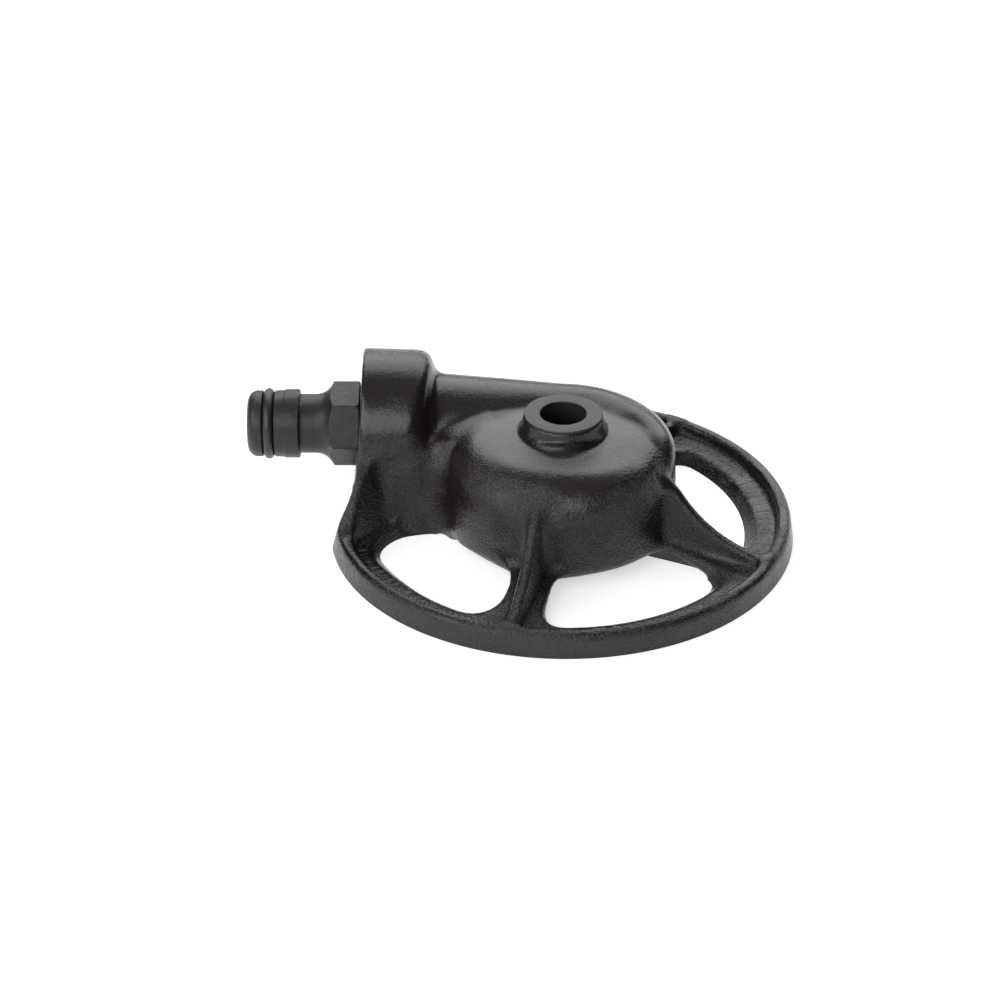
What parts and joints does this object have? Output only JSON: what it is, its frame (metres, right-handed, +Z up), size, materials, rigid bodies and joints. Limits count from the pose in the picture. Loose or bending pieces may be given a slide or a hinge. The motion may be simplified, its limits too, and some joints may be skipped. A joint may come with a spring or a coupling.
{
  "type": "stationary sprinkler",
  "caption": "Cast-iron whirl-chamber lawn sprinkler on a ribbed ring foot, with a tangential hose inlet and a quick-coupler nipple.",
  "frame": {"origin": "centre of the bounding box at ground level, on the plane that the ring foot stands on", "axes": "+Z up along the nozzle's axis, the hose comes in from -X, +Y on the side that the inlet pipe runs along"},
  "size_m": [0.1256, 0.106, 0.0355],
  "materials": {
    "painted_cast_iron": "satin black paint over a sand-cast skin",
    "black_plastic": "satin moulded",
    "seal_rubber": "smooth",
    "washer_rubber": "matte"
  },
  "bodies": {
    "root": {"sprinkler_casting": "painted_cast_iron", "hose_nipple": "black_plastic", "nipple_o_ring": "seal_rubber", "thread_washer": "washer_rubber"}
  },
  "joints": []
}
